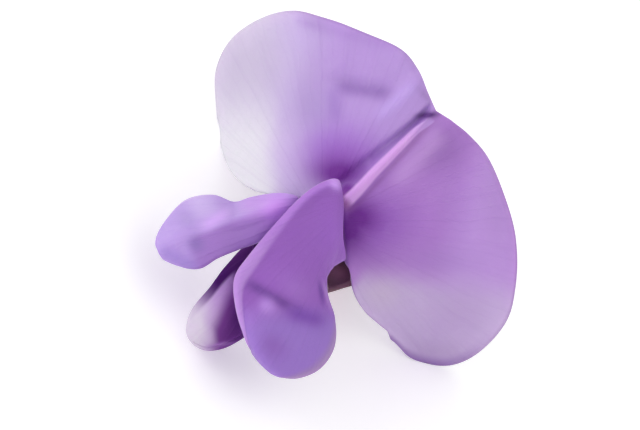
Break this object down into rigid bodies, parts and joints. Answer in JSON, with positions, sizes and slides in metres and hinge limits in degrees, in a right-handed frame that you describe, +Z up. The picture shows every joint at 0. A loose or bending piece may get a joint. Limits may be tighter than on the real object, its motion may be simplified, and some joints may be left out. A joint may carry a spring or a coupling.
{
  "type": "bean flower",
  "caption": "Lilac pea-type flower lying on its keel and lobe corners: notched standard petal, spoon-shaped wings, open keel boat, dark ribbed calyx and cut green pedicel.",
  "frame": {"origin": "bottom centre of the bounding box, on the surface that the flower lies on", "axes": "+Z straight up from the surface; -Y towards the side that the face of the flower looks to; +X towards its right lobe, as seen from the front"},
  "size_m": [0.0186, 0.017, 0.0122],
  "materials": {
    "standard_petal": "thin soft petal, lilac with a whitish outer left edge, a purple throat and a pink-lilac crease",
    "wing_petals": "thin soft petal, darker purple with a bluish tip and a light rim",
    "keel_petals": "thin soft petal, whitish lilac outside and dark purple inside",
    "stamens_and_pistil": "moist pale pink-lilac filaments grown together, with a pale tip",
    "calyx": "smooth glossy purple-brown with lighter ribs",
    "pedicel": "smooth yellow-green stalk with a pale cut end"
  },
  "bodies": {
    "root": {"standard_petal": "standard_petal", "wing_petal_right": "wing_petals", "wing_petal_left": "wing_petals", "keel_petals": "keel_petals", "stamens_and_pistil": "stamens_and_pistil", "calyx": "calyx", "pedicel": "pedicel"}
  },
  "joints": []
}
